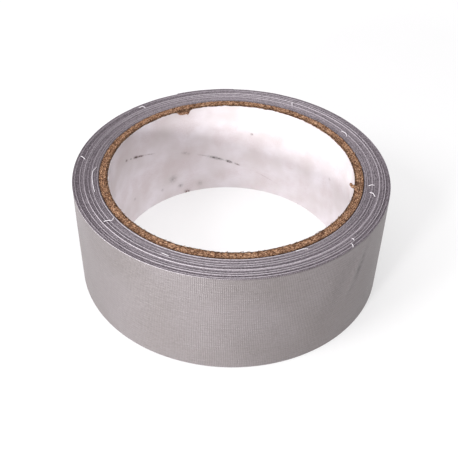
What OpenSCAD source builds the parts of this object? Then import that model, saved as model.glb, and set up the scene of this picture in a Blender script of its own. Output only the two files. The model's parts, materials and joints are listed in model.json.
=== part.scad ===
// A roll of cloth-backed repair tape on a spirally wound chipboard core.
// The roll lies on its side: +Z runs up along its axis and the origin is
// the middle of the hole, level with the surface that the roll rests on.

/* [Roll] */
// Width of the tape and of the core under it
tape_width = 36; // [24:0.5:50]
// Full turns of tape wound on the core
turns = 32; // [8:1:40]

/* [Core] */
// Diameter of the hole through the core
bore_diameter = 76.2; // [74:0.1:78]
// Thickness of the white paper that lines the hole
liner_thickness = 0.2; // [0.15:0.05:0.3]
// Thickness of one chipboard ply
ply_thickness = 0.54; // [0.4:0.02:0.6]

/* [Tape] */
// Thickness of the silver polythene backing
backing_thickness = 0.09; // [0.08:0.01:0.1]
// Thickness of the woven cotton scrim
scrim_thickness = 0.08; // [0.07:0.01:0.1]
// Thickness of the rubber adhesive
adhesive_thickness = 0.08; // [0.07:0.01:0.1]

/* [Free end] */
// Length along the curve of each bending length of the free end
flap_length = 7; // [5:0.5:9]
// Air between the loosened end and the turn below it
flap_clearance = 0.15; // [0.1:0.05:0.2]
// Gap between two neighbouring bending lengths
flap_gap = 0.12; // [0.1:0.02:0.2]

/* [Hidden] */

$fn = 180;
PLIES = 5;
SEAM_ANGLE = 90; // the strip starts and ends at the back of the roll, at +Y

bore_r = bore_diameter / 2;
liner_r = bore_r + liner_thickness;
core_r = liner_r + PLIES * ply_thickness;
tape_thickness = adhesive_thickness + scrim_thickness + backing_thickness;
roll_r = core_r + turns * tape_thickness;
flap_r = roll_r + flap_clearance;
flap_angle = flap_length / flap_r * 180 / PI;
gap_angle = flap_gap / flap_r * 180 / PI;

// Height of each layer of the strip above the face that sticks
scrim_level = adhesive_thickness;
backing_level = adhesive_thickness + scrim_thickness;

// A tube standing on the bottom face
module tube(inner_r, thickness) {
    rotate_extrude() translate([inner_r, 0]) square([thickness, tape_width]);
}

// Part of a tube, from angle from through angle sweep
module tube_sector(inner_r, thickness, from, sweep) {
    rotate([0, 0, from]) rotate_extrude(angle = sweep)
        translate([inner_r, 0]) square([thickness, tape_width]);
}

// One layer of the wound strip. A turn is two half tubes, and the second is
// centred half a tape thickness aside and is that much larger, so the strip
// runs on without a step and climbs by one thickness in every turn.
module wound_layer(level, thickness) {
    rotate([0, 0, SEAM_ANGLE]) for (turn = [0 : turns - 1]) {
        inner_r = core_r + turn * tape_thickness + level;
        tube_sector(inner_r, thickness, 0, 180);
        translate([tape_thickness / 2, 0, 0])
            tube_sector(inner_r + tape_thickness / 2, thickness, 180, 180);
    }
}

// One layer of one bending length of the free end, counted from the roll
module end_layer(number, level, thickness) {
    from = SEAM_ANGLE + (number - 1) * flap_angle;
    tube_sector(flap_r + level, thickness, from + gap_angle / 2, flap_angle - gap_angle);
}

// The core
module core_liner() { color("whitesmoke") tube(bore_r, liner_thickness); }
module core_ply(number) {
    color(number % 2 == 0 ? "peru" : "tan")
        tube(liner_r + (number - 1) * ply_thickness, ply_thickness);
}

// The wound strip
module tape_adhesive() { color("lightgray") wound_layer(0, adhesive_thickness); }
module tape_scrim() { color("white") wound_layer(scrim_level, scrim_thickness); }
module tape_backing() { color("silver") wound_layer(backing_level, backing_thickness); }

// The free end, in three lengths that bend away from the roll one after another
module end_adhesive(number) { color("lightgray") end_layer(number, 0, adhesive_thickness); }
module end_scrim(number) { color("white") end_layer(number, scrim_level, scrim_thickness); }
module end_backing(number) { color("silver") end_layer(number, backing_level, backing_thickness); }

core_liner();
core_ply(1);  // core_ply_1
core_ply(2);  // core_ply_2
core_ply(3);  // core_ply_3
core_ply(4);  // core_ply_4
core_ply(5);  // core_ply_5
tape_adhesive();
tape_scrim();
tape_backing();
end_adhesive(1);  // end_adhesive_1
end_scrim(1);  // end_scrim_1
end_backing(1);  // end_backing_1
end_adhesive(2);  // end_adhesive_2
end_scrim(2);  // end_scrim_2
end_backing(2);  // end_backing_2
end_adhesive(3);  // end_adhesive_3
end_scrim(3);  // end_scrim_3
end_backing(3);  // end_backing_3
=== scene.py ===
"""Looks of a roll of cloth-backed repair tape: silver film on woven gauze, wound on a
chipboard core whose hole is lined with white paper. Lengths are in millimetres until a
mesh is made, when they turn into metres."""
import json
import math

import bpy
import numpy as np
from mathutils import Matrix, Vector


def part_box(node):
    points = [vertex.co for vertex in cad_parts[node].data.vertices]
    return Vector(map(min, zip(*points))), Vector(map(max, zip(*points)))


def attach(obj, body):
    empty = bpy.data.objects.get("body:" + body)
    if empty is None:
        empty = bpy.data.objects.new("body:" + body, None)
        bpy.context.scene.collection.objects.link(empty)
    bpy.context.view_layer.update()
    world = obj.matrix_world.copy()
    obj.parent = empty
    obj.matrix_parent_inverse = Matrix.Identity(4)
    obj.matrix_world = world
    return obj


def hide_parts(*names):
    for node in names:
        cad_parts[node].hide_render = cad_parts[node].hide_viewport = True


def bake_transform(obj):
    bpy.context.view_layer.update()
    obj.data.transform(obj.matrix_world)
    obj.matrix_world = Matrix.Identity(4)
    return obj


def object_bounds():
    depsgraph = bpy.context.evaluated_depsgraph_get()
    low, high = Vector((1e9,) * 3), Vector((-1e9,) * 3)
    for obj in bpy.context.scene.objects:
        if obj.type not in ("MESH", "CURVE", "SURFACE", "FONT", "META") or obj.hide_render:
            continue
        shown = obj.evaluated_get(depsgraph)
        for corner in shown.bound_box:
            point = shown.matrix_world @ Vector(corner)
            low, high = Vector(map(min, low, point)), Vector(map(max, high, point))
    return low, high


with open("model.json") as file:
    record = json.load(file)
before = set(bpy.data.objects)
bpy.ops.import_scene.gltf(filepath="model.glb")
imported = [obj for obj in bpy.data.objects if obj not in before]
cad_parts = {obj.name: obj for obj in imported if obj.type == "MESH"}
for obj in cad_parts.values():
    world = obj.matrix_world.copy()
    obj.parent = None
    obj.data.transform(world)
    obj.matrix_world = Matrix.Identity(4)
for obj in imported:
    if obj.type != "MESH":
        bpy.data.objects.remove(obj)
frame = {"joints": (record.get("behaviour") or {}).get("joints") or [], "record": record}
cad_low, cad_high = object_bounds()

MM = 0.001
TURN = 2 * math.pi


def mm(value):
    return value / MM


# ---------------------------------------------------------------- sizes taken from the frame
ROOT = "root"
PLY_COUNT = 5
LAYERS = ("adhesive", "scrim", "backing")
END_LENGTHS = (1, 2, 3)
TURNS = 32

WIDTH = mm(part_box("tape_backing")[1].z)
LINER_R = mm(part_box("core_liner")[1].x)
BORE_R = next(m["dims"]["r_mm"] for m in frame["record"]["mounts"] if m["name"] == "core_bore")
PLY_R = [LINER_R] + [mm(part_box(f"core_ply_{n}")[1].x) for n in range(1, PLY_COUNT + 1)]
CORE_R = PLY_R[-1]
ROLL_R = -mm(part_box("tape_backing")[0].x)
THICKNESS = (ROLL_R - CORE_R) / TURNS
# where each layer lies in the tape's thickness, from its inside to its outside
LAYER_SHARE = {"adhesive": (0.0, 0.32), "scrim": (0.32, 0.64), "backing": (0.64, 1.0)}
# angle at which the strip starts and ends, and the angle of one bending length of its end
SEAM = math.radians(90)
HINGES = [Vector(j["pos_m"]) / MM for j in frame["joints"]]
END_R = HINGES[0].y - THICKNESS
END_STEP = (HINGES[1] - HINGES[0]).length / (END_R + THICKNESS)

# distance between the threads that run across the tape, and between those along it
WEFT_PITCH = 0.52
WARP_PITCH = 0.95


# ---------------------------------------------------------------- camera, floor and light
# in metres
FLOOR_HALF = 3.0
FLOOR_GAP = 0.05 * MM


def make_camera():
    distance, elevation = 253.4 * MM, math.radians(39.26)
    yaw, pitch, roll = (math.radians(a) for a in (-0.073, -1.10, 1.48))
    data = bpy.data.cameras.new("camera")
    data.lens, data.sensor_width = 60.95, 36
    camera = bpy.data.objects.new("camera", data)
    bpy.context.scene.collection.objects.link(camera)
    turn = (
        Matrix.Rotation(math.radians(90) - elevation, 4, "X")
        @ Matrix.Rotation(-yaw, 4, "Y")
        @ Matrix.Rotation(pitch, 4, "X")
        @ Matrix.Rotation(roll, 4, "Z")
    )
    back = Vector((0, -math.cos(elevation), math.sin(elevation)))
    camera.matrix_world = Matrix.Translation(Vector((0, 0, WIDTH / 2 * MM)) + back * distance) @ turn
    bpy.context.scene.camera = camera


def make_light(name, place, aim, size, power, colour):
    data = bpy.data.lights.new(name, "AREA")
    data.size, data.energy, data.color = size, power, colour
    lamp = bpy.data.objects.new(name, data)
    bpy.context.scene.collection.objects.link(lamp)
    lamp.location = place
    lamp.rotation_euler = (Vector(aim) - Vector(place)).to_track_quat("-Z", "Y").to_euler()


def make_sky():
    """A soft white ceiling whose light fades towards the horizon. It looks white itself."""
    world = bpy.data.worlds.new("studio")
    world.use_nodes = True
    tree = world.node_tree
    direction = tree.nodes.new("ShaderNodeTexCoord")
    split = tree.nodes.new("ShaderNodeSeparateXYZ")
    climb = tree.nodes.new("ShaderNodeMapRange")
    tree.links.new(direction.outputs["Generated"], split.inputs[0])
    tree.links.new(split.outputs["Z"], climb.inputs["Value"])
    climb.inputs["From Min"].default_value = 0.40
    climb.inputs["From Max"].default_value = 0.90
    climb.inputs["To Min"].default_value = 0.0
    climb.inputs["To Max"].default_value = 1.42
    seen = tree.nodes.new("ShaderNodeLightPath")
    either = tree.nodes.new("ShaderNodeMath")
    either.operation = "MAXIMUM"
    tree.links.new(climb.outputs["Result"], either.inputs[0])
    tree.links.new(seen.outputs["Is Camera Ray"], either.inputs[1])
    tree.links.new(either.outputs[0], tree.nodes["Background"].inputs["Strength"])
    tree.nodes["Background"].inputs["Color"].default_value = (1.0, 0.985, 1.0, 1)
    return world


def make_studio():
    centre = (0, 0, WIDTH / 2 * MM)
    make_light("key_light", (-0.85, -0.50, 0.78), centre, 0.42, 6.4, (0.985, 0.985, 1.0))
    make_light("side_light", (-0.60, -0.98, 0.24), centre, 0.16, 11.5, (1.0, 1.0, 1.0))
    make_light("back_light", (-0.10, 0.80, 0.80), centre, 0.70, 0.4, (1.0, 0.985, 1.0))
    scene = bpy.context.scene
    scene.world = make_sky()
    scene.view_settings.view_transform = "Standard"
    half = FLOOR_HALF
    mesh = bpy.data.meshes.new("floor")
    corners = [(-half, -half, 0), (half, -half, 0), (half, half, 0), (-half, half, 0)]
    mesh.from_pydata(corners, [], [(0, 1, 2, 3)])
    floor = bpy.data.objects.new("floor", mesh)
    scene.collection.objects.link(floor)
    floor.location.z = cad_low.z - FLOOR_GAP
    mesh.materials.append(floor_white())


# ---------------------------------------------------------------- shader building
class Shader:
    """One material's node tree, with short ways to add and join nodes."""

    def __init__(self, tree):
        self.tree = tree

    def add(self, kind, **values):
        node = self.tree.nodes.new(kind)
        for key, value in values.items():
            if hasattr(node, key):
                setattr(node, key, value)
            else:
                node.inputs[key.replace("_", " ")].default_value = value
        return node

    def join(self, source, target):
        self.tree.links.new(source, target)

    def math(self, operation, first, second=None, third=None, clamp=False):
        node = self.add("ShaderNodeMath", operation=operation, use_clamp=clamp)
        for socket, value in zip(node.inputs, (first, second, third)):
            if isinstance(value, bpy.types.NodeSocket):
                self.join(value, socket)
            elif value is not None:
                socket.default_value = value
        return node.outputs[0]

    def mix(self, share, first, second, blend="MIX"):
        node = self.add("ShaderNodeMix", data_type="RGBA", blend_type=blend)
        for socket, value in zip((node.inputs[0], node.inputs[6], node.inputs[7]), (share, first, second)):
            if isinstance(value, bpy.types.NodeSocket):
                self.join(value, socket)
            else:
                socket.default_value = value
        return node.outputs[2]

    def between(self, value, low, high, new_low=0.0, new_high=1.0):
        node = self.add("ShaderNodeMapRange")
        self.join(value, node.inputs[0])
        for socket, number in zip(node.inputs[1:5], (low, high, new_low, new_high)):
            socket.default_value = number
        return node.outputs[0]

    def noise(self, vector, scale, detail=3.0, rough=0.55, stretch=(1, 1, 1)):
        node = self.add("ShaderNodeTexNoise")
        node.inputs["Scale"].default_value = scale
        node.inputs["Detail"].default_value = detail
        node.inputs["Roughness"].default_value = rough
        self.join(self.scaled(vector, stretch), node.inputs["Vector"])
        return node.outputs["Fac"]

    def scaled(self, vector, factors):
        node = self.add("ShaderNodeVectorMath", operation="MULTIPLY")
        self.join(vector, node.inputs[0])
        node.inputs[1].default_value = factors
        return node.outputs[0]

    def split(self, vector):
        node = self.add("ShaderNodeSeparateXYZ")
        self.join(vector, node.inputs[0])
        return node.outputs

    def surface_place(self):
        """Place on the unrolled surface, in millimetres: along, across, and a third figure of 0."""
        return self.add("ShaderNodeUVMap", uv_map="unrolled").outputs[0]

    def solid_place(self):
        """Place in the piece itself, in millimetres."""
        return self.scaled(self.add("ShaderNodeTexCoord").outputs["Object"], (1 / MM, 1 / MM, 1 / MM))

    def speckled(self, colour, size, strength, light, dark):
        """A colour with light and dark specks on it."""
        specks = self.use(SPECKLE, Place=self.solid_place(), Speck_Size=size, Strength=strength)
        return self.mix(specks["Dark"], self.mix(specks["Light"], colour, light), dark)

    def use(self, group, **values):
        node = self.add("ShaderNodeGroup", node_tree=group)
        for key, value in values.items():
            socket = node.inputs[key.replace("_", " ")]
            if isinstance(value, bpy.types.NodeSocket):
                self.join(value, socket)
            else:
                socket.default_value = value
        return node.outputs


def new_material(name):
    material = bpy.data.materials.new(name)
    material.use_nodes = True
    shader = Shader(material.node_tree)
    return material, shader, material.node_tree.nodes["Principled BSDF"]


def new_group(name, inputs, outputs):
    tree = bpy.data.node_groups.new(name, "ShaderNodeTree")
    for label, kind, value in inputs:
        socket = tree.interface.new_socket(name=label, in_out="INPUT", socket_type=kind)
        if value is not None:
            socket.default_value = value
    for label, kind in outputs:
        tree.interface.new_socket(name=label, in_out="OUTPUT", socket_type=kind)
    shader = Shader(tree)
    return tree, shader, shader.add("NodeGroupInput").outputs, shader.add("NodeGroupOutput").inputs


def rgb(red, green, blue):
    """A colour given as it looks on a screen, 0 to 255, as linear light."""
    return tuple(((c / 255 + 0.055) / 1.055) ** 2.4 for c in (red, green, blue)) + (1.0,)


# ---------------------------------------------------------------- effects that several materials share
def make_weave_group():
    """Plain weave: threads across the tape (weft) and along it (warp), with a slow unevenness."""
    tree, s, inside, outside = new_group(
        "plain_weave",
        [
            ("Place", "NodeSocketVector", None),
            ("Weft Pitch", "NodeSocketFloat", 0.5),
            ("Warp Pitch", "NodeSocketFloat", 1.0),
        ],
        [("Weft", "NodeSocketFloat"), ("Warp", "NodeSocketFloat"), ("Height", "NodeSocketFloat")],
    )
    drift = s.noise(inside["Place"], 0.06, 2.0)
    along, across, _ = s.split(inside["Place"])
    moved = s.math("MULTIPLY_ADD", drift, 1.4, along)
    weft_turns = s.math("DIVIDE", moved, inside["Weft Pitch"])
    warp_turns = s.math("DIVIDE", s.math("MULTIPLY_ADD", drift, 1.1, across), inside["Warp Pitch"])
    weft = s.math("MULTIPLY_ADD", s.math("COSINE", s.math("MULTIPLY", weft_turns, TURN)), 0.5, 0.5)
    warp = s.math("MULTIPLY_ADD", s.math("COSINE", s.math("MULTIPLY", warp_turns, TURN)), 0.5, 0.5)
    crossing = s.math("MULTIPLY", weft, warp)
    threads = s.math("MULTIPLY_ADD", warp, 0.22, s.math("MULTIPLY", weft, 0.55))
    height = s.math("MULTIPLY_ADD", crossing, 0.35, threads)
    s.join(weft, outside["Weft"])
    s.join(warp, outside["Warp"])
    s.join(height, outside["Height"])
    return tree


def make_blotch_group():
    """Large soft patches with a little fine grain on them, centred on a half."""
    tree, s, inside, outside = new_group(
        "soft_blotches",
        [
            ("Place", "NodeSocketVector", None),
            ("Patch Size", "NodeSocketFloat", 20.0),
            ("Grain Size", "NodeSocketFloat", 0.6),
        ],
        [("Patches", "NodeSocketFloat"), ("Grain", "NodeSocketFloat")],
    )
    for name, size, detail in (("Patches", "Patch Size", 2.0), ("Grain", "Grain Size", 4.0)):
        node = s.add("ShaderNodeTexNoise")
        node.inputs["Detail"].default_value = detail
        s.join(inside["Place"], node.inputs["Vector"])
        s.join(s.math("DIVIDE", 1.0, inside[size]), node.inputs["Scale"])
        s.join(node.outputs["Fac"], outside[name])
    return tree


def make_fibre_group():
    """Short matted fibres that lie mostly along the surface's first direction."""
    tree, s, inside, outside = new_group(
        "matted_fibres",
        [
            ("Place", "NodeSocketVector", None),
            ("Length", "NodeSocketFloat", 2.0),
            ("Width", "NodeSocketFloat", 0.3),
        ],
        [("Fibres", "NodeSocketFloat"), ("Flecks", "NodeSocketFloat")],
    )
    along, across, up = s.split(inside["Place"])
    lay = s.add("ShaderNodeCombineXYZ")
    s.join(s.math("DIVIDE", along, inside["Length"]), lay.inputs[0])
    s.join(s.math("DIVIDE", across, inside["Width"]), lay.inputs[1])
    s.join(s.math("DIVIDE", up, inside["Width"]), lay.inputs[2])
    fibres = s.add("ShaderNodeTexNoise", Scale=1.0, Detail=5.0, Roughness=0.65)
    s.join(lay.outputs[0], fibres.inputs["Vector"])
    flecks = s.add("ShaderNodeTexVoronoi", feature="F1", Scale=0.9)
    s.join(lay.outputs[0], flecks.inputs["Vector"])
    s.join(fibres.outputs["Fac"], outside["Fibres"])
    s.join(s.math("POWER", flecks.outputs["Distance"], 2.0), outside["Flecks"])
    return tree


def make_speckle_group():
    """Hard-edged light and dark specks, as cut fibres and dust leave on an edge."""
    tree, s, inside, outside = new_group(
        "edge_speckle",
        [
            ("Place", "NodeSocketVector", None),
            ("Speck Size", "NodeSocketFloat", 0.4),
            ("Strength", "NodeSocketFloat", 0.5),
        ],
        [("Light", "NodeSocketFloat"), ("Dark", "NodeSocketFloat")],
    )
    node = s.add("ShaderNodeTexNoise")
    node.inputs["Detail"].default_value = 1.5
    s.join(inside["Place"], node.inputs["Vector"])
    s.join(s.math("DIVIDE", 1.0, inside["Speck Size"]), node.inputs["Scale"])
    light = s.between(node.outputs["Fac"], 0.50, 0.60)
    dark = s.between(node.outputs["Fac"], 0.50, 0.40)
    s.join(s.math("MULTIPLY", light, inside["Strength"]), outside["Light"])
    s.join(s.math("MULTIPLY", dark, inside["Strength"]), outside["Dark"])
    return tree


WEAVE = make_weave_group()
BLOTCHES = make_blotch_group()
FIBRES = make_fibre_group()
SPECKLE = make_speckle_group()


# ---------------------------------------------------------------- materials
def floor_white():
    """Studio paper that is bright enough of itself to keep its shadows pale."""
    material, s, skin = new_material("floor_white")
    place = s.add("ShaderNodeTexCoord").outputs["Object"]
    grain = s.noise(place, 9.0)
    s.join(s.mix(grain, (0.48, 0.48, 0.48, 1), (0.51, 0.51, 0.51, 1)), skin.inputs["Base Color"])
    skin.inputs["Emission Color"].default_value = (1.0, 1.0, 1.0, 1)
    skin.inputs["Emission Strength"].default_value = 0.50
    skin.inputs["Roughness"].default_value = 0.9
    skin.inputs["Specular IOR Level"].default_value = 0.1
    return material


def bump(s, skin, height, strength, distance):
    """Gives a material relief. The distance is in metres."""
    node = s.add("ShaderNodeBump", Strength=strength, Distance=distance)
    s.join(height, node.inputs["Height"])
    s.join(node.outputs["Normal"], skin.inputs["Normal"])


def weft_teeth(s, place):
    """1 on the middle of a thread that runs across the tape and 0 in the gap beside it."""
    along = s.split(place)[0]
    return s.math("MULTIPLY_ADD", s.math("COSINE", s.math("MULTIPLY", along, TURN / WEFT_PITCH)), 0.5, 0.5)


def silver_film():
    """Polythene film that shows the weave it is pressed onto."""
    material, s, skin = new_material("silver_film")
    place = s.surface_place()
    weave = s.use(WEAVE, Place=place, Weft_Pitch=WEFT_PITCH, Warp_Pitch=WARP_PITCH)
    soft = s.use(BLOTCHES, Place=place, Patch_Size=26.0, Grain_Size=1.1)
    base = s.mix(s.between(soft["Patches"], 0.35, 0.65), rgb(143, 136, 135), rgb(154, 147, 148))
    valley = s.math("MULTIPLY", s.math("SUBTRACT", 1.0, weave["Weft"]), 0.50)
    shade = s.mix(valley, base, rgb(122, 114, 116))
    warp_line = s.math("MULTIPLY", s.math("SUBTRACT", 1.0, weave["Warp"]), 0.16)
    shade = s.mix(warp_line, shade, rgb(120, 112, 112))
    shade = s.mix(s.between(soft["Grain"], 0.42, 0.66, 0.0, 0.07), shade, rgb(202, 195, 199))
    shade = s.mix(s.between(soft["Grain"], 0.52, 0.30, 0.0, 0.06), shade, rgb(112, 105, 106))
    notched = s.add("ShaderNodeAttribute", attribute_name="notched").outputs["Fac"]
    near_edge = s.between(s.split(place)[1], WIDTH - 0.80, WIDTH - 0.45)
    gaps = s.math("MULTIPLY", near_edge, s.between(weft_teeth(s, place), 0.30, 0.60, 1.0, 0.15))
    shade = s.mix(s.math("MULTIPLY", gaps, s.math("MULTIPLY", notched, 0.95)), shade, rgb(84, 74, 80))
    # painted shade: darkens the film along the leaning wrinkle, most on its side away from the lights
    crease_shade_mark = s.add("ShaderNodeAttribute", attribute_name="crease_shade").outputs["Fac"]
    crease_shade = s.math("MULTIPLY", crease_shade_mark, s.between(s.noise(place, 0.5, 4.0, 0.65), 0.38, 0.60, 0.2, 1.0))
    shade = s.mix(crease_shade, shade, rgb(96, 90, 92))
    s.join(shade, skin.inputs["Base Color"])
    s.join(s.between(soft["Grain"], 0.3, 0.7, 0.44, 0.51), skin.inputs["Roughness"])
    skin.inputs["Metallic"].default_value = 0.45
    skin.inputs["Anisotropic"].default_value = 0.6
    skin.inputs["Anisotropic Rotation"].default_value = 0.25
    around = s.add("ShaderNodeTangent", direction_type="UV_MAP", uv_map="unrolled")
    s.join(around.outputs["Tangent"], skin.inputs["Tangent"])
    skin.inputs["Specular IOR Level"].default_value = 0.4
    height = s.math("MULTIPLY_ADD", soft["Grain"], 0.25, weave["Height"])
    drawn = s.noise(place, 1.0, 2.0, 0.5, (0.12, 3.2, 1.0))
    bump(s, skin, s.math("MULTIPLY_ADD", drawn, 2.6, height), 0.75, 0.00010)
    return material


def film_edge():
    """The slit edge of the film, with a painted pale highlight where it stands proud and on the side
    towards the lights, notched where threads pull it.
    """
    material, s, skin = new_material("film_edge")
    place = s.surface_place()
    soft = s.use(BLOTCHES, Place=place, Patch_Size=9.0, Grain_Size=0.4)
    pale = s.add("ShaderNodeAttribute", attribute_name="pale").outputs["Fac"]
    notched = s.add("ShaderNodeAttribute", attribute_name="notched").outputs["Fac"]
    base = s.mix(s.between(soft["Grain"], 0.42, 0.58), rgb(100, 90, 97), rgb(150, 140, 147))
    # painted highlight: the pale mark whitens the cut edge
    bright = s.math("MULTIPLY", pale, s.between(soft["Grain"], 0.3, 0.5, 0.7, 1.0))
    base = s.mix(bright, base, rgb(234, 226, 232))
    gaps = s.math("MULTIPLY", notched, s.between(weft_teeth(s, place), 0.35, 0.65, 1.0, 0.0))
    base = s.speckled(base, 0.42, 0.30, rgb(180, 170, 178), rgb(82, 72, 79))
    s.join(s.mix(gaps, base, rgb(82, 70, 76)), skin.inputs["Base Color"])
    skin.inputs["Roughness"].default_value = 0.5
    bump(s, skin, soft["Grain"], 0.4, 0.00005)
    return material


def gauze_thread():
    """Cut ends of the cotton weft threads, with dark gaps between them."""
    material, s, skin = new_material("gauze_thread")
    place = s.surface_place()
    soft = s.use(BLOTCHES, Place=place, Patch_Size=7.0, Grain_Size=0.22)
    pale = s.add("ShaderNodeAttribute", attribute_name="pale").outputs["Fac"]
    teeth = weft_teeth(s, place)
    shown = s.math("MULTIPLY", s.between(teeth, 0.3, 0.7), s.between(soft["Grain"], 0.42, 0.56, 0.15, 1.0))
    base = s.mix(shown, rgb(84, 74, 81), rgb(172, 162, 170))
    base = s.speckled(base, 0.42, 0.30, rgb(184, 174, 182), rgb(76, 66, 73))
    # painted highlight: the pale mark whitens the thread ends of proud turns
    s.join(s.mix(s.math("MULTIPLY", pale, 0.6), base, rgb(226, 218, 224)), skin.inputs["Base Color"])
    skin.inputs["Roughness"].default_value = 0.85
    bump(s, skin, s.math("ADD", soft["Grain"], teeth), 0.6, 0.00008)
    return material


def grey_adhesive():
    """Rubber adhesive with dust on its edge."""
    material, s, skin = new_material("grey_adhesive")
    place = s.surface_place()
    soft = s.use(BLOTCHES, Place=place, Patch_Size=8.0, Grain_Size=0.3)
    weave = s.use(WEAVE, Place=place, Weft_Pitch=WEFT_PITCH, Warp_Pitch=WARP_PITCH)
    base = s.mix(s.between(soft["Patches"], 0.35, 0.65), rgb(88, 80, 88), rgb(122, 113, 121))
    base = s.mix(s.math("MULTIPLY", weave["Height"], 0.3), base, rgb(176, 168, 176))
    base = s.speckled(base, 0.42, 0.35, rgb(176, 167, 176), rgb(58, 50, 58))
    s.join(base, skin.inputs["Base Color"])
    s.join(s.between(soft["Grain"], 0.3, 0.7, 0.38, 0.6), skin.inputs["Roughness"])
    bump(s, skin, s.math("ADD", soft["Grain"], weave["Height"]), 0.5, 0.00008)
    return material


def lining_white():
    """Smooth white paper, with glue and dirt along its seam and a few specks."""
    material, s, skin = new_material("lining_white")
    place = s.surface_place()
    soft = s.use(BLOTCHES, Place=place, Patch_Size=11.0, Grain_Size=0.5)
    fibre = s.use(FIBRES, Place=place, Length=1.6, Width=0.7)
    base = s.mix(s.between(soft["Patches"], 0.32, 0.68), rgb(218, 210, 210), rgb(236, 230, 234))
    base = s.mix(s.between(fibre["Fibres"], 0.5, 0.8, 0.0, 0.35), base, rgb(214, 204, 208))
    # darker, warmer mottled patches placed at random over the paper
    mottle_patches = s.between(s.noise(place, 0.11, 3.0), 0.46, 0.64)
    mottle = s.math("MULTIPLY", mottle_patches, s.between(soft["Grain"], 0.4, 0.6, 0.3, 0.6))
    base = s.mix(mottle, base, rgb(214, 201, 202))
    dirt = s.add("ShaderNodeAttribute", attribute_name="dirt").outputs["Fac"]
    patchy = s.math("MULTIPLY", dirt, s.between(s.noise(place, 1.3, 4.0, 0.7), 0.34, 0.56), clamp=True)
    stain = s.mix(s.between(s.noise(place, 0.18), 0.42, 0.58), rgb(50, 34, 28), rgb(110, 76, 70))
    s.join(s.mix(patchy, base, stain), skin.inputs["Base Color"])
    s.join(s.between(soft["Grain"], 0.3, 0.7, 0.62, 0.8), skin.inputs["Roughness"])
    skin.inputs["Specular IOR Level"].default_value = 0.3
    bump(s, skin, s.math("ADD", soft["Patches"], fibre["Fibres"]), 0.25, 0.00012)
    return material


def raw_chipboard():
    """Grey-brown board, its cut fibres pale and its rims dark: painted shade where the edge drops beside
    the lining, the tape and the next ply, with dark torn fibres.
    """
    material, s, skin = new_material("raw_chipboard")
    place = s.surface_place()
    fibre = s.use(FIBRES, Place=place, Length=0.55, Width=0.40)
    soft = s.use(BLOTCHES, Place=s.solid_place(), Patch_Size=1.1, Grain_Size=0.3)
    base = s.mix(s.between(fibre["Fibres"], 0.42, 0.58), rgb(78, 50, 34), rgb(200, 154, 120))
    base = s.mix(s.between(soft["Patches"], 0.50, 0.60, 0.0, 0.7), base, rgb(92, 60, 44))
    base = s.mix(s.between(fibre["Flecks"], 0.35, 0.75, 0.0, 0.75), base, rgb(228, 186, 154))
    # painted shade: the rim mark darkens the edge in the drops at its rims, mottled by the fibres
    rim = s.add("ShaderNodeAttribute", attribute_name="rim").outputs["Fac"]
    dark = s.math("MULTIPLY", rim, s.between(fibre["Fibres"], 0.3, 0.6, 1.2, 0.5), clamp=True)
    s.join(s.mix(dark, base, rgb(46, 30, 20)), skin.inputs["Base Color"])
    skin.inputs["Roughness"].default_value = 0.92
    skin.inputs["Specular IOR Level"].default_value = 0.2
    bump(s, skin, s.math("ADD", fibre["Fibres"], soft["Grain"]), 1.0, 0.0003)
    return material


def cotton_white():
    """Loose cotton yarn."""
    material, s, skin = new_material("cotton_white")
    place = s.add("ShaderNodeTexCoord").outputs["Object"]
    grain = s.noise(place, 5000.0, 3.0)
    s.join(s.mix(grain, rgb(232, 224, 230), rgb(255, 252, 254)), skin.inputs["Base Color"])
    skin.inputs["Roughness"].default_value = 0.85
    bump(s, skin, grain, 0.5, 0.00004)
    return material


FILM, FILM_EDGE, GAUZE, ADHESIVE = silver_film(), film_edge(), gauze_thread(), grey_adhesive()
LINING, CHIPBOARD, COTTON = lining_white(), raw_chipboard(), cotton_white()
LAYER_MATERIAL = {"adhesive": ADHESIVE, "scrim": GAUZE, "backing": FILM_EDGE}


# ---------------------------------------------------------------- mesh building
def random_waves(seed, low, high, count):
    """A smooth function of an angle that closes on itself, between about -1 and 1."""
    dice = np.random.RandomState(seed)
    waves = dice.randint(low, high + 1, count)
    phases = dice.uniform(0, TURN, count)
    sizes = dice.uniform(0.5, 1.0, count) / math.sqrt(count)

    def height(angle):
        angle = np.asarray(angle, float)[..., None]
        return (sizes * np.sin(waves * angle + phases)).sum(-1)

    return height


def smooth_along(seed, count, step):
    """A smooth random line sampled by place, for things that don't close on themselves."""
    values = np.random.RandomState(seed).uniform(-1, 1, count)

    def height(place):
        at = np.clip(np.asarray(place, float) / step, 0, count - 1.001)
        low = at.astype(int)
        part = at - low
        part = part * part * (3 - 2 * part)
        return values[low] * (1 - part) + values[low + 1] * part

    return height


def hump(angle, centre, half_width):
    """1 at the centre angle, falling smoothly to 0 a half width away. Angles in degrees."""
    away = np.abs((np.asarray(angle, float) - centre + 180) % 360 - 180) / half_width
    return np.where(away < 1, 0.5 + 0.5 * np.cos(np.pi * np.clip(away, 0, 1)), 0.0)


def cylinder_points(radius, angle, height):
    """Points given by radius, angle and height, as x, y and z."""
    radius, angle, height = np.broadcast_arrays(radius, angle, height)
    return np.stack([radius * np.cos(angle), radius * np.sin(angle), height], -1)


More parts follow.
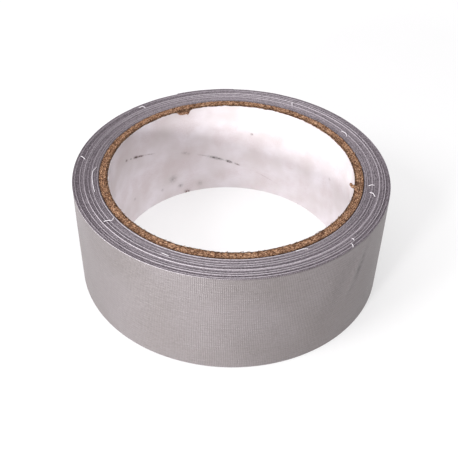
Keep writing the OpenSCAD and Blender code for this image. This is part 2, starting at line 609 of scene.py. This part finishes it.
def grid_object(
    name, points, place, rows=None, materials=(), closed=(False, False), caps=False, marks=None
):
    """A mesh from a grid of points, lengths by sections. place holds each corner's unrolled
    place in millimetres and has one more row where that way closes. rows gives the material
    number of each strip of faces round a section, and marks are named values for each point."""
    lengths, sections = points.shape[:2]
    u = np.arange(lengths if closed[0] else lengths - 1)
    v = np.arange(sections if closed[1] else sections - 1)
    uu, vv = np.meshgrid(u, v, indexing="ij")
    corner_u = [uu, uu + 1, uu + 1, uu]
    corner_v = [vv, vv, vv + 1, vv + 1]
    corners = list(zip(corner_u, corner_v))
    faces = np.stack([(a % lengths) * sections + b % sections for a, b in corners], -1)
    faces = faces.reshape(-1, 4).tolist()
    unrolled = np.stack([place[a, b] for a, b in corners], -2).reshape(-1, 2)
    if caps:
        faces += [list(range(sections))[::-1], [(lengths - 1) * sections + n for n in range(sections)]]
        unrolled = np.concatenate([unrolled, place[0, :sections][::-1], place[-1, :sections]])
    mesh = bpy.data.meshes.new(name)
    mesh.from_pydata((points.reshape(-1, 3) * MM).tolist(), [], faces)
    layer = mesh.uv_layers.new(name="unrolled")
    layer.data.foreach_set("uv", unrolled.astype(np.float32).ravel())
    for material in materials:
        mesh.materials.append(material)
    if rows is not None:
        numbers = np.tile(np.asarray(rows)[vv[0]], len(u)).tolist() + [rows[0]] * (2 if caps else 0)
        mesh.polygons.foreach_set("material_index", numbers)
    for mark, values in (marks or {}).items():
        attribute = mesh.attributes.new(mark, "FLOAT", "POINT")
        attribute.data.foreach_set("value", values.astype(np.float32).ravel())
    mesh.polygons.foreach_set("use_smooth", [True] * len(mesh.polygons))
    mesh.set_sharp_from_angle(angle=math.radians(50))
    mesh.update()
    item = bpy.data.objects.new(name, mesh)
    bpy.context.scene.collection.objects.link(item)
    return item


def rings_to_grid(profile_r, profile_z, angle):
    """Points and unrolled places of a lathe-like shape whose profile may change with the angle."""
    points = cylinder_points(profile_r, angle[:, None], profile_z)
    travel = np.concatenate([angle, [angle[0] + TURN]])
    across = np.concatenate([[0], np.cumsum(np.hypot(np.diff(profile_r[0]), np.diff(profile_z[0])))])
    across = np.concatenate([across, [across[-1] + abs(profile_z[0, -1] - profile_z[0, 0])]])
    place = np.stack(np.meshgrid(travel * profile_r.mean(), across, indexing="ij"), -1)
    return points, place


# ---------------------------------------------------------------- lining paper
# angle and height of one point on the spiral seam, and its climb in millimetres a degree
LINING_SEAM_TOP = (158.0, 28.0)
LINING_SEAM_CLIMB = 0.24
# the torn patch: angles in degrees, depth in millimetres
TEAR_ANGLE, TEAR_HALF_WIDTH, TEAR_DEPTH = 116.5, 6.5, 1.5


def seam_height(degrees):
    """Height of the lining's spiral seam at an angle."""
    return LINING_SEAM_TOP[1] - LINING_SEAM_CLIMB * (LINING_SEAM_TOP[0] - degrees)


def torn(degrees):
    """How far the lining is torn away below the upper edge, in millimetres."""
    jagged = 1 + 0.45 * random_waves(41, 60, 160, 6)(np.radians(degrees))
    lopsided = 0.6 * hump(degrees, TEAR_ANGLE, TEAR_HALF_WIDTH) + 0.6 * hump(degrees, TEAR_ANGLE - 1.8, 2.6)
    return TEAR_DEPTH * lopsided * jagged


def make_lining():
    """The white paper of the hole: its overlapping seam, its stains and its ragged upper edge."""
    angle = np.linspace(0, TURN, 720, endpoint=False)
    degrees = np.degrees(angle)
    levels = np.linspace(0, 1, 130)
    edge = WIDTH - 0.46 + 0.10 * random_waves(3, 20, 140, 14)(angle) - torn(degrees)
    z = levels[None, :] * edge[:, None]
    lap = seam_height(degrees)[:, None] - z
    on_lap = np.clip(1 + lap / 1.1, 0, 1) * np.clip(-lap / 0.18 + 0.3, 0, 1)
    upper = np.clip(-lap / 0.35, 0, 1) * np.exp(np.minimum(lap, 0) / 9.0)
    dents = 0.035 * random_waves(5, 2, 9, 6)(angle + 0.6)[:, None] * np.sin(levels * math.pi)[None, :]
    inner = BORE_R + 0.02 - 0.10 * np.maximum(on_lap, 0.55 * upper) + dents
    glued_levels = np.array([1.0, 0.5, 0.0])
    outer = np.full((len(angle), len(glued_levels)), LINER_R - 0.01)
    profile_r = np.concatenate([inner, outer], 1)
    profile_z = np.concatenate([z, glued_levels[None, :] * edge[:, None]], 1)
    points, place = rings_to_grid(profile_r, profile_z, angle)
    dirt = np.zeros_like(z)
    for stain_angle, reach, thickness, strength in SEAM_STAINS:
        band = np.exp(-(((lap - 0.1) / thickness) ** 2))
        dirt = np.maximum(dirt, strength * band * hump(degrees, stain_angle, reach)[:, None])
    for spot_angle, spot_height, size, strength in LINING_SPOTS:
        reach = np.hypot((degrees[:, None] - spot_angle) * math.radians(BORE_R), z - spot_height)
        dirt = np.maximum(dirt, strength * np.exp(-((reach / size) ** 2)))
    dirt = np.concatenate([dirt, np.zeros_like(outer)], 1)
    lining = grid_object(
        "lining_paper", points, place, materials=[LINING], closed=(True, True), marks={"dirt": dirt}
    )
    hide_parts("core_liner")
    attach(lining, ROOT)


# angle, half length in degrees, thickness in millimetres and strength of each stain on the seam
SEAM_STAINS = [
    (157.0, 1.6, 0.42, 0.9), (153.0, 1.2, 0.25, 0.7), (148.5, 3.2, 0.42, 1.7), (145.0, 3.0, 0.30, 1.7),
    (139.0, 5.0, 0.20, 0.8), (116.0, 4.0, 0.55, 0.32), (106.0, 5.0, 0.22, 0.45), (99.0, 6.5, 0.50, 1.0),
    (91.5, 2.6, 0.42, 1.7), (87.0, 2.2, 0.30, 1.2), (70.0, 9.0, 0.18, 0.35),
]
# angle, height, size in millimetres and strength of each spot
LINING_SPOTS = [
    (79.5, 24.5, 0.35, 1.2), (124.0, 8.0, 1.5, 0.42), (119.5, 4.0, 0.9, 0.5), (115.5, 0.3, 0.9, 1.3),
    (131.0, 5.0, 0.5, 0.45), (108.0, 3.0, 1.0, 0.30), (152.0, 9.0, 0.5, 0.35), (28.0, 20.0, 0.5, 0.4),
    (210.0, 25.0, 0.6, 0.8), (262.0, 14.0, 0.8, 0.6), (320.0, 8.0, 0.5, 0.9), (345.0, 29.0, 0.4, 0.6),
]


# ---------------------------------------------------------------- chipboard plies
# how dark the cut edge is, from the inside of each ply to its outside: painted shade in the drops at the
# rims beside the lining, the tape and the next ply, heaviest across the innermost ply by the hole, mixed
# with dark torn fibres
RIM_DARKNESS = {
    1: (1.0, 1.0, 1.0, 0.9, 0.7, 0.5, 0.4),
    2: (0.5, 0.35, 0.2, 0.0, 0.0, 0.2, 0.45),
    PLY_COUNT: (0.3, 0.0, 0.1, 0.35, 0.8, 1.0, 1.0),
}
# the middle plies get painted shade at both rims, in the grooves between plies
RIM_DARKNESS_BETWEEN = (0.45, 0.2, 0.0, 0.0, 0.0, 0.2, 0.45)
# moves each ply's fibres along it, so that they don't line up with the next ply's
PLY_GRAIN_SHIFT = 137.0
GLUE_GAP = 0.01


def make_ply(number):
    """One wound ply: smooth where it is glued, ragged at both cut edges."""
    inner, outer = PLY_R[number - 1], PLY_R[number]
    count = 1440
    angle = np.linspace(0, TURN, count, endpoint=False)
    degrees = np.degrees(angle)
    dice = np.random.RandomState(100 + number)

    def ragged(amount):
        fine = dice.uniform(-1, 1, count)
        fine = 0.5 * fine + 0.25 * (np.roll(fine, 1) + np.roll(fine, -1))
        return amount * (0.55 * fine + 0.6 * random_waves(dice.randint(999), 30, 220, 18)(angle))

    innermost = number == 1
    shares = np.array([0.0, 0.03, 0.25, 0.5, 0.75, 0.97, 1.0])
    top_drop = np.array([0.28, 0.10, 0.0, 0.03, 0.0, 0.10, 0.28])
    rough_top = np.stack([ragged(0.10) for _ in shares], 1)
    rough_low = np.stack([ragged(0.06) for _ in shares], 1)
    side = np.stack([ragged(0.07 if share in (0.0, 1.0) else 0.03) for share in shares], 1)
    radius = inner + (outer - inner) * shares[None, :] + side
    if innermost:
        bulge = hump(degrees, TEAR_ANGLE, TEAR_HALF_WIDTH * 0.9)
        radius = np.maximum(radius, LINER_R - 0.02)
    radius = np.minimum(radius, CORE_R - GLUE_GAP)
    low_radius = radius.copy()
    if innermost:
        radius[:, :3] -= (0.85 * bulge * (1 + 0.5 * ragged(1.0)))[:, None]
    wander = 0.10 * random_waves(50 + number, 3, 24, 8)(angle)[:, None]
    top = np.minimum(WIDTH - 0.10 - top_drop + rough_top + wander, WIDTH + 0.05)
    low = np.maximum(top_drop[::-1] * 0.4 + rough_low, 0.0)
    wall = np.array([0.12, 0.5, 0.88])
    wall_r_out = np.repeat(np.minimum(outer, CORE_R - GLUE_GAP), 3)[None, :] + np.zeros((count, 1))
    wall_r_in = np.repeat(inner, 3)[None, :] + np.zeros((count, 1))
    if innermost:
        reach = np.array([0.0, 0.0, 0.9])
        wall = np.array([0.5, 0.93, 0.975])
        wall_r_in = wall_r_in - 0.6 * bulge[:, None] * reach[None, :]
    wall_z = WIDTH * wall[None, :] + np.zeros((count, 1))
    out_z = WIDTH * np.array([0.88, 0.5, 0.12])[None, :] + np.zeros((count, 1))
    profile_r = np.concatenate([radius, wall_r_out, low_radius[:, ::-1], wall_r_in], 1)
    profile_z = np.concatenate([top, out_z, low[:, ::-1], wall_z], 1)
    points, place = rings_to_grid(profile_r, profile_z, angle)
    rim = np.zeros(profile_r.shape)
    rim[:, :len(shares)] = RIM_DARKNESS.get(number, RIM_DARKNESS_BETWEEN)
    place[..., 0] += PLY_GRAIN_SHIFT * number
    ply = grid_object(
        f"chipboard_ply_{number}", points, place, materials=[CHIPBOARD], closed=(True, True),
        marks={"rim": rim},
    )
    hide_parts(f"core_ply_{number}")
    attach(ply, ROOT)


# ---------------------------------------------------------------- wound strip
# whole turns wound, angle of the middle and half its reach in degrees, and height, for each
# stretch of the strip whose edge stands proud of the others
# the cut edges of these stretches are also painted pale as a highlight
PROUD_STRETCHES = [
    (1, 240, 150, 0.15), (3, 335, 50, 0.09), (5, 280, 60, 0.11), (8, 190, 50, 0.13),
    (9, 300, 75, 0.13), (12, 265, 120, 0.15), (17, 245, 115, 0.22), (18, 330, 70, 0.17),
    (22, 190, 50, 0.13), (22, 290, 65, 0.14), (25, 278, 65, 0.15), (25, 325, 45, 0.20),
    (28, 185, 50, 0.10), (29, 300, 55, 0.11), (4, 130, 70, 0.10), (10, 70, 90, 0.13),
    (15, 120, 70, 0.13), (18, 75, 95, 0.16), (22, 40, 70, 0.13), (27, 100, 80, 0.13),
]
END_TURNED = float(TURNS)
# unrolled place where the last turn starts, in round millimetres
LAST_TURN_START = 8000


def strip_radius(turned):
    """Inside radius of the strip after so many turns from the core."""
    return CORE_R + THICKNESS * turned


def proud_height(turned):
    """How far above its neighbours the strip's upper edge stands, in millimetres."""
    height = np.zeros_like(turned)
    for whole_turns, centre, half_reach, lift in PROUD_STRETCHES:
        middle = whole_turns + ((centre - 90) % 360) / 360
        away = np.clip(np.abs(turned - middle) * 360 / half_reach, 0, 1)
        height = np.maximum(height, lift * (1 - away**3))
    return height


def turn_tone(turned):
    """A number from -1 to 1 that wanders slowly along the strip, so that turns differ in bands."""
    return smooth_along(12, 90, 0.55)(turned) * 0.6 + smooth_along(13, 24, 2.3)(turned) * 0.6


def edge_lift(turned, side):
    """How far the strip's edge stands above (side 1) or below (side -1) its mean place."""
    whole = turn_tone(turned) * 0.07 + smooth_along(8, 200, 0.22)(turned) * 0.025
    ripple = 0.025 * random_waves(9, 7, 40, 10)(TURN * turned)
    lift = side * whole + ripple - 0.12
    if side > 0:
        proud = proud_height(turned)
        lift = np.where(proud > 0, np.maximum(lift, -0.08 + 1.2 * proud), lift)
    return np.clip(lift, -0.36, 0.24 if side > 0 else -0.02)


def edge_highlight_and_shade(turned):
    """How pale the cut edge is: a painted highlight on proud turns and painted shade on sunken ones."""
    bright = np.clip(proud_height(turned) / 0.15, 0, 1.2)
    return np.clip(0.06 + 0.16 * turn_tone(turned) + 0.66 * bright, 0, 1)


# how far each layer's cut edge lies behind the film's, in millimetres
EDGE_SETBACK = {"adhesive": 0.16, "scrim": 0.07, "backing": 0.0}
STEPS_PER_TURN = 300


def make_wound_layer(layer):
    """One layer of the strip, wound from the core outwards without a break."""
    steps = TURNS * STEPS_PER_TURN
    turned = np.linspace(0, END_TURNED, steps + 1)
    angle = SEAM + TURN * turned
    low_share, high_share = LAYER_SHARE[layer]
    inner = strip_radius(turned) + THICKNESS * low_share
    outer = strip_radius(turned) + THICKNESS * high_share
    middle = (inner + outer) / 2
    fray = np.random.RandomState(11).uniform(-1, 1, steps + 1) * (0.05 if layer == "scrim" else 0.012)
    top = WIDTH + edge_lift(turned, 1) - EDGE_SETBACK[layer] + fray
    low = np.maximum(-edge_lift(turned, -1) * 0.5 + EDGE_SETBACK[layer] * 0.5, 0.0)
    crown = 0.03
    profile_r = np.stack([inner, inner, middle, outer, outer, middle], 1)
    profile_z = np.stack([low + crown, top - crown, top, top - crown, low + crown, low], 1)
    points = cylinder_points(profile_r, angle[:, None], profile_z)
    travel = np.concatenate([[0], np.cumsum((middle[1:] + middle[:-1]) / 2 * np.diff(angle))])
    across = np.array([0.0, WIDTH, WIDTH + 0.1, WIDTH + 0.2, 2 * WIDTH, 2 * WIDTH + 0.1, 2 * WIDTH + 0.2])
    place = np.stack(np.meshgrid(travel, across, indexing="ij"), -1)
    # painted highlight and shade on the cut edge, by how far each turn stands proud
    pale = np.repeat(edge_highlight_and_shade(turned)[:, None], profile_r.shape[1], 1)
    item = grid_object(
        f"wound_{layer}", points, place, materials=[LAYER_MATERIAL[layer]],
        closed=(False, True), caps=True, marks={"pale": pale},
    )
    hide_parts(f"tape_{layer}")
    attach(item, ROOT)


def leaning(degrees, z):
    """The angle on the outer turn, sheared so that a wrinkle at one value leans."""
    return degrees - (z - 24) * 0.45


def outer_bulges(degrees, z):
    """Where the outermost film has lifted a little: soft waves, and a wrinkle that leans."""
    level = z / WIDTH
    soft = 0.05 * (1 + random_waves(21, 2, 7, 5)(np.radians(degrees))) * np.sin(np.pi * level)
    lean = leaning(degrees, z)
    wrinkle = 0.40 * hump(lean, 316.5, 3.2) * np.exp(-(((z - 26) / 7.5) ** 2))
    shoulder = 0.12 * hump(lean, 309, 7) * np.exp(-(((z - 25) / 10) ** 2))
    return np.maximum(soft, 0) + wrinkle + shoulder


def make_outer_turn():
    """The film face of the last turn, which carries the print of the weave."""
    steps, levels = 720, 48
    turned = np.linspace(END_TURNED - 1, END_TURNED, steps + 1)
    angle = SEAM + TURN * turned
    degrees = np.degrees(angle) % 360
    top = WIDTH + edge_lift(turned, 1) + 0.02
    low = np.maximum(-edge_lift(turned, -1) * 0.5, 0.0)
    share = np.concatenate([[0], np.linspace(0.003, 0.997, levels), [1]])
    z = low[:, None] + (top - low)[:, None] * share[None, :]
    skin = 0.015
    face = strip_radius(turned + 1)[:, None] + skin + outer_bulges(degrees[:, None], z)
    face[:, 0] -= 0.04
    face[:, -1] -= 0.04
    back = np.repeat(strip_radius(turned + 1)[:, None] - 0.05, 2, 1)
    back_z = np.stack([z[:, -1] - 0.01, z[:, 0] + 0.01], 1)
    profile_r = np.concatenate([face, back], 1)
    profile_z = np.concatenate([z, back_z], 1)
    points = cylinder_points(profile_r, angle[:, None], profile_z)
    travel = np.concatenate([[0], np.cumsum(ROLL_R * np.diff(angle))]) + LAST_TURN_START
    across = np.concatenate([z[0], [WIDTH + 0.1, WIDTH + 0.2, WIDTH + 0.3]])
    place = np.stack(np.meshgrid(travel, across, indexing="ij"), -1)
    rows = [1] + [0] * (levels - 1) + [1] * 4
    # painted highlight: the film's cut edge is made pale, most round 233 degrees, the side that faces the
    # lights
    pale = 0.15 + 0.95 * hump(degrees, 233, 46) ** 0.4
    notched = hump(degrees, 302, 46) ** 0.4
    whole = np.ones(profile_r.shape[1])
    lean = leaning(degrees[:, None], profile_z)
    # painted shade along the leaning wrinkle and its shoulder, set a little towards the side away from the
    # lights
    crease_shade = 0.75 * hump(lean, 319.5, 3.0) * np.exp(-(((profile_z - 25) / 7) ** 2))
    crease_shade += 0.22 * hump(lean, 309.5, 7.0) * np.exp(-(((profile_z - 22) / 11) ** 2))
    item = grid_object(
        "outer_turn_film", points, place, rows=rows, materials=[FILM, FILM_EDGE],
        closed=(False, True), caps=True,
        marks={"pale": pale[:, None] * whole, "notched": notched[:, None] * whole, "crease_shade": crease_shade},
    )
    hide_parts("tape_backing")
    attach(item, ROOT)


# ---------------------------------------------------------------- free end
END_FLOOR_GAP = 0.02


def end_tear(z):
    """How far the hand-torn end runs past its mean place at a height, in millimetres."""
    jag = smooth_along(31, 60, 0.9)(z)
    return 0.35 * jag + 0.25 * np.sin(z * 0.35) + 0.12 * smooth_along(32, 120, 0.4)(z)


def make_end_piece(number, layer):
    """One layer of one bending length. It runs from the middle of the length before it to
    the middle of its own, so that the bend over its hinge is in one piece."""
    start = (number - 1.5) if number > 1 else 0.0
    stop = (number - 0.5) if number < len(END_LENGTHS) else float(number)
    steps, levels = 26, 60
    share = np.linspace(start, stop, steps + 1)[:, None]
    z = np.linspace(0.0, WIDTH, levels)[None, :]
    lift = edge_lift(END_TURNED + share * END_STEP / TURN, 1)
    z = z / WIDTH * (WIDTH + lift - EDGE_SETBACK[layer] * 0.5)
    z = np.maximum(z, END_FLOOR_GAP)
    reach = share * END_STEP + z * 0
    if number == len(END_LENGTHS):
        fade = np.clip((share - stop + 0.5) / 0.5, 0, 1)
        fringe = {"adhesive": -0.25, "scrim": 0.12, "backing": 0.0}[layer]
        reach = reach + fade * (end_tear(z) + fringe - 0.45) / END_R
    low_share, high_share = LAYER_SHARE[layer]
    faces = []
    for part in (high_share, low_share):
        faces.append(cylinder_points(END_R + THICKNESS * part, SEAM + reach, z))
    points = np.concatenate([faces[0], faces[1][:, ::-1]], 1)
    travel = LAST_TURN_START + TURN * ROLL_R + reach * END_R
    flat = np.stack([travel, z], -1)
    other = flat[:, ::-1] + np.array([0, 2 * WIDTH])
    place = np.concatenate([flat, other, flat[:, :1]], 1)
    rows = [0] * (levels - 1) + [1] + [2] * (levels - 1) + [1]
    skins = {
        "adhesive": (ADHESIVE, ADHESIVE, ADHESIVE),
        "scrim": (GAUZE, GAUZE, GAUZE),
        "backing": (FILM, FILM_EDGE, FILM_EDGE),
    }
    item = grid_object(
        f"free_end_{layer}_{number}", points, place, rows=rows, materials=skins[layer],
        closed=(False, True), caps=True,
    )
    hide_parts(f"end_{layer}_{number}")
    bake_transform(item)


# ---------------------------------------------------------------- loose threads and fibres
def tube_points(path, radius, sides=6):
    """Rings round a path of points, closed in to a point at each end."""
    path = np.asarray(path, float)
    ahead = np.gradient(path, axis=0)
    ahead /= np.linalg.norm(ahead, axis=1)[:, None] + 1e-9
    up = np.array([0.13, 0.21, 1.0])
    side = np.cross(ahead, up)
    side /= np.linalg.norm(side, axis=1)[:, None] + 1e-9
    over = np.cross(side, ahead)
    taper = np.ones(len(path))
    taper[0] = taper[-1] = 0.25
    turn = np.linspace(0, TURN, sides, endpoint=False)
    ring = np.cos(turn)[None, :, None] * side[:, None] + np.sin(turn)[None, :, None] * over[:, None]
    return path[:, None] + ring * (radius * taper)[:, None, None]


def smooth_path(stops, count):
    """A curve through a few stops."""
    stops = np.asarray(stops, float)
    at = np.linspace(0, len(stops) - 1, count)
    low = np.clip(at.astype(int), 0, len(stops) - 2)
    part = (at - low)[:, None]
    before = stops[np.maximum(low - 1, 0)]
    first, second = stops[low], stops[low + 1]
    after = stops[np.minimum(low + 2, len(stops) - 1)]
    return 0.5 * (
        2 * first + (second - before) * part + (2 * before - 5 * first + 4 * second - after) * part**2
        + (3 * first - before - 3 * second + after) * part**3
    )


def join_tubes(name, tubes, material, body=ROOT):
    """Many short tubes as one piece, which rides on a body."""
    points, faces = [], []
    for rings in tubes:
        start = sum(len(p) for p in points)
        count, sides = rings.shape[:2]
        points.append(rings.reshape(-1, 3))
        for a in range(count - 1):
            for b in range(sides):
                c = (b + 1) % sides
                this, following = start + a * sides, start + (a + 1) * sides
                faces.append([this + b, this + c, following + c, following + b])
        faces.append([start + b for b in range(sides)][::-1])
        faces.append([start + (count - 1) * sides + b for b in range(sides)])
    mesh = bpy.data.meshes.new(name)
    mesh.from_pydata((np.concatenate(points) * MM).tolist(), [], faces)
    layer = mesh.uv_layers.new(name="unrolled")
    corners = np.array([mesh.vertices[loop.vertex_index].co[:2] for loop in mesh.loops]) / MM
    layer.data.foreach_set("uv", corners.astype(np.float32).ravel())
    mesh.materials.append(material)
    mesh.polygons.foreach_set("use_smooth", [True] * len(mesh.polygons))
    item = bpy.data.objects.new(name, mesh)
    bpy.context.scene.collection.objects.link(item)
    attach(item, body)


def on_side(degrees, radius, above=0.1):
    """A point over the roll's upper side."""
    angle = math.radians(degrees)
    return (radius * math.cos(angle), radius * math.sin(angle), WIDTH + above)


YARN_R = 0.10
# the stops of each thread: angle in degrees, radius, and height above the upper side
LOOSE_THREADS = [
    [(350.6, 42.4, 0.1), (351.0, 43.3, 0.5), (351.4, 44.2, 0.2)],
    [(346.4, 43.0, 0.1), (345.6, 44.0, 0.45), (344.2, 44.9, 0.15)],
    [(175.8, 46.3, 0.0), (175.2, 47.2, 0.5), (174.4, 48.0, 0.15)],
    [
        (181.0, 41.9, 0.2), (182.6, 42.2, 0.45), (184.3, 42.8, 0.35),
        (188.5, 42.95, 0.25), (193.5, 42.85, 0.2), (198.0, 42.8, 0.0),
    ],
    [(216.8, 45.0, 0.15), (217.4, 44.2, 0.4), (218.2, 42.9, 0.35), (217.6, 42.2, 0.5), (216.6, 41.7, 0.2)],
    [(317.4, 46.5, 0.1), (317.0, 47.1, 0.6), (316.9, 47.7, 0.4)],
    [(315.3, 47.7, 0.0), (314.6, 48.6, 0.45), (314.0, 49.2, 0.2)],
    [(296.0, 41.6, 0.0), (297.0, 41.9, 0.3), (299.0, 42.0, 0.3), (301.0, 42.3, 0.0)],
    [(62.0, 44.0, 0.0), (62.6, 44.8, 0.4), (61.8, 45.8, 0.1)],
    [(131.0, 46.2, 0.0), (131.8, 47.0, 0.4), (133.2, 47.6, 0.0)],
    [(28.0, 43.0, 0.0), (30.0, 43.4, 0.3), (33.0, 43.3, 0.0)],
    [(245.0, 43.6, 0.0), (246.0, 43.9, 0.28), (248.0, 43.8, 0.0)],
]


def make_loose_threads():
    """Loose cotton threads that lie on the upper side."""
    tubes = []
    for stops in LOOSE_THREADS:
        path = smooth_path([on_side(*stop) for stop in stops], 8 * len(stops))
        tubes.append(tube_points(path, YARN_R))
    join_tubes("loose_threads", tubes, COTTON)


def make_lower_threads():
    """A few on the lower side, drawn in so that the roll still lies flat."""
    dice = np.random.RandomState(77)
    tubes = []
    for _ in range(6):
        degrees, radius = dice.uniform(0, 360), dice.uniform(42.5, 47.5)
        stops = [
            (degrees, radius, 0.06),
            (degrees + 0.8, radius + 0.6, 0.10),
            (degrees + 0.5, radius + 1.3, 0.08),
        ]
        path = [on_side(a, r, -WIDTH + z) for a, r, z in stops]
        tubes.append(tube_points(smooth_path(path, 14), 0.05))
    join_tubes("lower_loose_threads", tubes, COTTON)


def make_torn_end_threads():
    """Broken weft and warp threads that stick out of the hand-torn end."""
    dice = np.random.RandomState(78)
    tubes = []
    last = len(END_LENGTHS)
    for level in np.arange(0.8, WIDTH - 0.4, WARP_PITCH):
        start = last * END_STEP + (end_tear(np.array(level)) - 0.6) / END_R
        length = dice.uniform(0.5, 1.7)
        lean, curl = dice.uniform(-0.5, 0.5), dice.uniform(0.0, 0.35)
        radius = END_R + THICKNESS * 0.48
        stops = []
        for part in (0.0, 0.4, 0.75, 1.0):
            angle = SEAM + float(start) + length * part / END_R
            away = radius + curl * part**2
            stops.append((away * math.cos(angle), away * math.sin(angle), level + lean * part**2))
        tubes.append(tube_points(smooth_path(stops, 12), 0.055))
    join_tubes("torn_end_threads", tubes, COTTON, body=f"free_end_{last}")


def make_core_fibres():
    """Short board fibres along both rims of the core's cut edge."""
    dice = np.random.RandomState(79)
    tubes = []
    for _ in range(420):
        degrees = dice.uniform(0, 360)
        rim = dice.choice([LINER_R - 0.02, CORE_R - 0.15, dice.uniform(LINER_R, CORE_R - 0.2)])
        heading = dice.uniform(-0.9, 0.9)
        length = dice.uniform(0.35, 1.1)
        height = WIDTH - dice.uniform(0.05, 0.3)
        outward = -1 if rim < LINER_R else 1
        at_a_rim = rim > CORE_R - 0.2 or rim < LINER_R
        stops = []
        for part in (0.0, 0.5, 1.0):
            angle = math.radians(degrees) + length * part * math.cos(heading) / rim
            away = rim
            if at_a_rim:
                away += outward * dice.uniform(0.0, 0.22) * part
            rise = dice.uniform(0.0, 0.22) * part
            stops.append((away * math.cos(angle), away * math.sin(angle), height + rise))
        tubes.append(tube_points(smooth_path(stops, 6), dice.uniform(0.03, 0.06), sides=4))
    join_tubes("core_edge_fibres", tubes, CHIPBOARD)


def make_core_shaving():
    """A curled shaving of board that leans from the cut edge into the hole."""
    dice = np.random.RandomState(80)
    tubes = []
    strands = 26
    spread = dice.uniform
    for strand in range(strands):
        side = strand / (strands - 1) - 0.5
        root = (347.0 + side * 3.0 + spread(-0.3, 0.3), 39.6 + spread(-0.5, 0.4), -0.1)
        knee = (347.8 + side * 1.9, 38.4 + spread(-0.2, 0.2), 0.35 + spread(-0.1, 0.25))
        bend = (348.6 + side * 1.3 + spread(-0.2, 0.2), 37.6 + spread(-0.2, 0.2), 0.25 + spread(-0.2, 0.2))
        tip = (350.4 + side * 0.9 + spread(-0.4, 0.4), 37.0 + spread(-0.35, 0.35), 0.15 + spread(-0.2, 0.3))
        path = smooth_path([on_side(*stop) for stop in (root, knee, bend, tip)], 18)
        tubes.append(tube_points(path, dice.uniform(0.10, 0.20), sides=5))
    join_tubes("core_shaving", tubes, CHIPBOARD)


# ---------------------------------------------------------------- build
make_camera()
make_studio()
make_lining()
for ply_number in range(1, PLY_COUNT + 1):
    make_ply(ply_number)
for wound in LAYERS:
    make_wound_layer(wound)
make_outer_turn()
for end_number in END_LENGTHS:
    for end_layer in LAYERS:
        make_end_piece(end_number, end_layer)
make_loose_threads()
make_lower_threads()
make_torn_end_threads()
make_core_fibres()
make_core_shaving()
